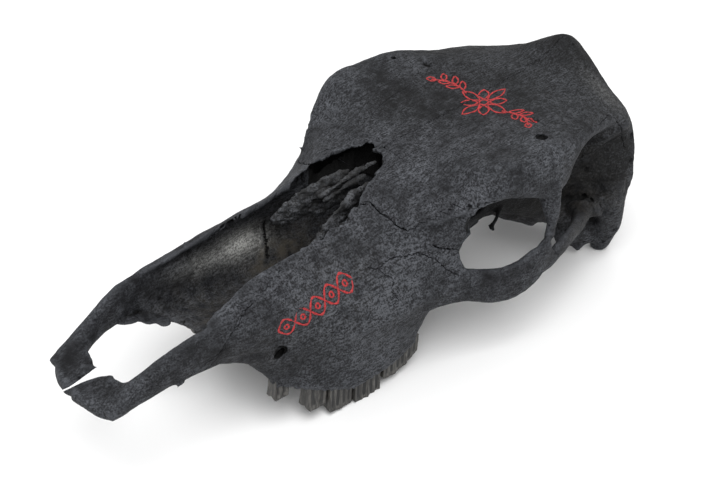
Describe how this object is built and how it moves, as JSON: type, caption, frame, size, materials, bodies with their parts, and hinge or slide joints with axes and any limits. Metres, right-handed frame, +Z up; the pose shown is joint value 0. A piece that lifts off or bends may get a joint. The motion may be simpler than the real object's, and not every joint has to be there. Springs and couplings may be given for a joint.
{
  "type": "cow skull",
  "caption": "Hornless cow skull without its lower jaw: open nose, ringed eye sockets, broad brow and cheek teeth, resting on the teeth and the rear processes.",
  "frame": {"origin": "centre of the bounding box on the floor that the skull rests on", "axes": "+Z up, +Y from the snout to the back of the skull, +X to the animal's left"},
  "size_m": [0.2328, 0.523, 0.1821],
  "materials": {
    "bone": "dry bone under a thin charcoal stain, matt",
    "inner_bone": "thin brown inner bone, matt",
    "tooth": "grey stained enamel, slightly glossy",
    "red_paint": "thin matt red brush line"
  },
  "bodies": {
    "root": {"cranium": "bone", "occipital": "bone", "maxilla_left": "bone", "maxilla_right": "bone", "premaxilla_left": "bone", "premaxilla_right": "bone", "zygomatic_left": "bone", "zygomatic_right": "bone", "turbinate_left": "inner_bone", "turbinate_right": "inner_bone"}
  },
  "joints": []
}
